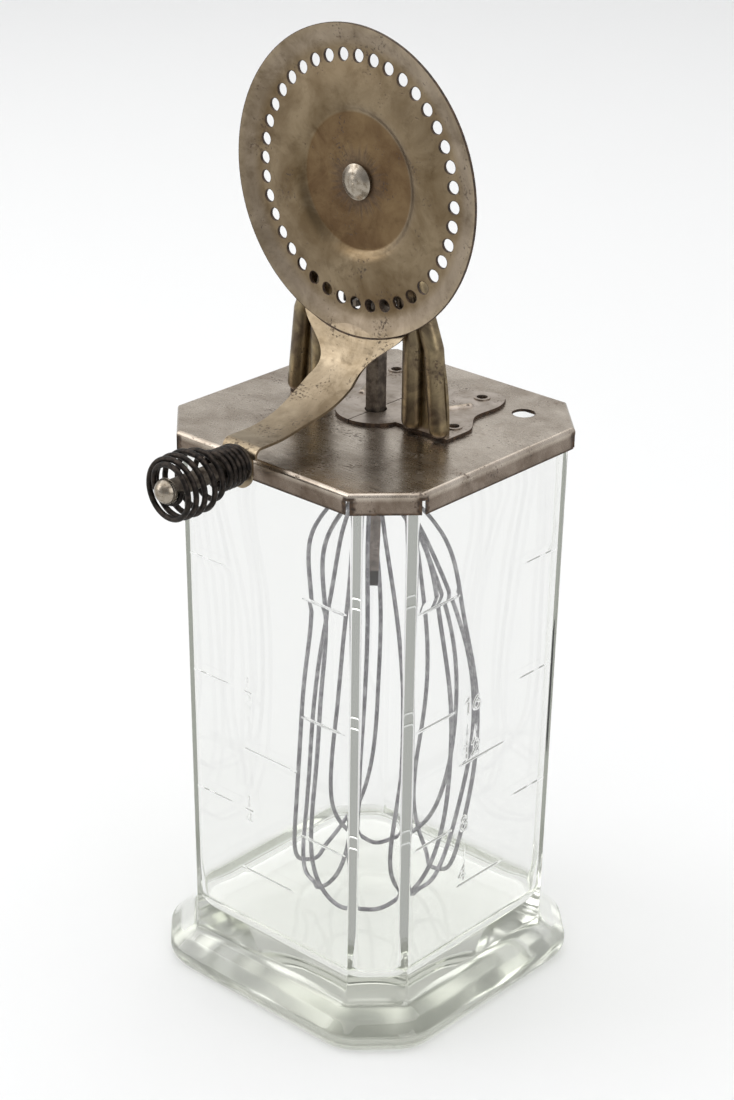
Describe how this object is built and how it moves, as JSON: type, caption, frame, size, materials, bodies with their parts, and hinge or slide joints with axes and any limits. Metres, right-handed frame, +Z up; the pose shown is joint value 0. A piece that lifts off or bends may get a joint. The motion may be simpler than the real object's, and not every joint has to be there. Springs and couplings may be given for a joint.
{
  "type": "hand crank mixer jar",
  "caption": "Square glass jar with a metal lid that carries a crank wheel, a pinion shaft and a wire whisk for mixing by hand.",
  "frame": {"origin": "centre of the jar's foot, on the plane it stands on", "axes": "+Z up through the lid; the crank is on the -Y side"},
  "size_m": [0.1014, 0.1327, 0.2846],
  "materials": {
    "clear_glass": "pressed clear glass with a faint green tint, slightly wavy",
    "lid_plate": "worn tin and nickel plated sheet with pits and stains",
    "frame_plate": "worn nickel plated sheet steel, brown in the hollows",
    "wheel_plate": "worn nickel plated sheet steel with brown toning",
    "bright_nickel": "bright nickel plated rivets",
    "dark_steel": "bare steel gone dark brown",
    "dark_wire": "blackened spring wire",
    "whisk_wire": "tinned steel wire, dulled",
    "brass_bush": "turned brass bush, dulled"
  },
  "bodies": {
    "jar": {"glass_jar": "clear_glass"},
    "lid": {"lid": "lid_plate", "frame_left": "frame_plate", "frame_right": "frame_plate", "foot_eyelets": "frame_plate", "bearing_bridge": "frame_plate", "bridge_rivets": "bright_nickel", "wheel_washer": "dark_steel", "rear_washer": "bright_nickel", "wheel_stud": "bright_nickel", "lower_bush": "brass_bush"},
    "crank": {"crank_wheel": "wheel_plate", "handle_pin": "bright_nickel"},
    "grip": {"grip_coil": "dark_wire", "grip_sleeve": "dark_steel", "grip_washer": "dark_steel"},
    "whisk": {"drive_shaft": "dark_steel", "pinion": "dark_steel", "shaft_collar": "dark_steel", "whisk_ferrule": "whisk_wire", "whisk_loop_1": "whisk_wire", "whisk_loop_2": "whisk_wire", "whisk_loop_3": "whisk_wire", "whisk_loop_4": "whisk_wire", "whisk_loop_5": "whisk_wire", "whisk_loop_6": "whisk_wire"}
  },
  "joints": [
    {"name": "lid_lift", "type": "slide", "parent": "jar", "child": "lid", "axis": [0, 0, 1], "range_m": [0, 0.16]},
    {"name": "crank_turn", "type": "hinge", "parent": "lid", "child": "crank", "pos_m": [-0.002, -0.0064, 0.2418], "axis": [0, 1, 0], "continuous": true},
    {"name": "whisk_spin", "type": "hinge", "parent": "lid", "child": "whisk", "pos_m": [-0.002, 0.0026, 0.1731], "axis": [0, 0, 1], "continuous": true},
    {"name": "grip_turn", "type": "hinge", "parent": "crank", "child": "grip", "pos_m": [-0.002, -0.0652, 0.1741], "axis": [0, 1, 0], "continuous": true}
  ],
  "couplings": [
    {"joint": "whisk_spin", "follows": "crank_turn", "ratio": -4}
  ]
}
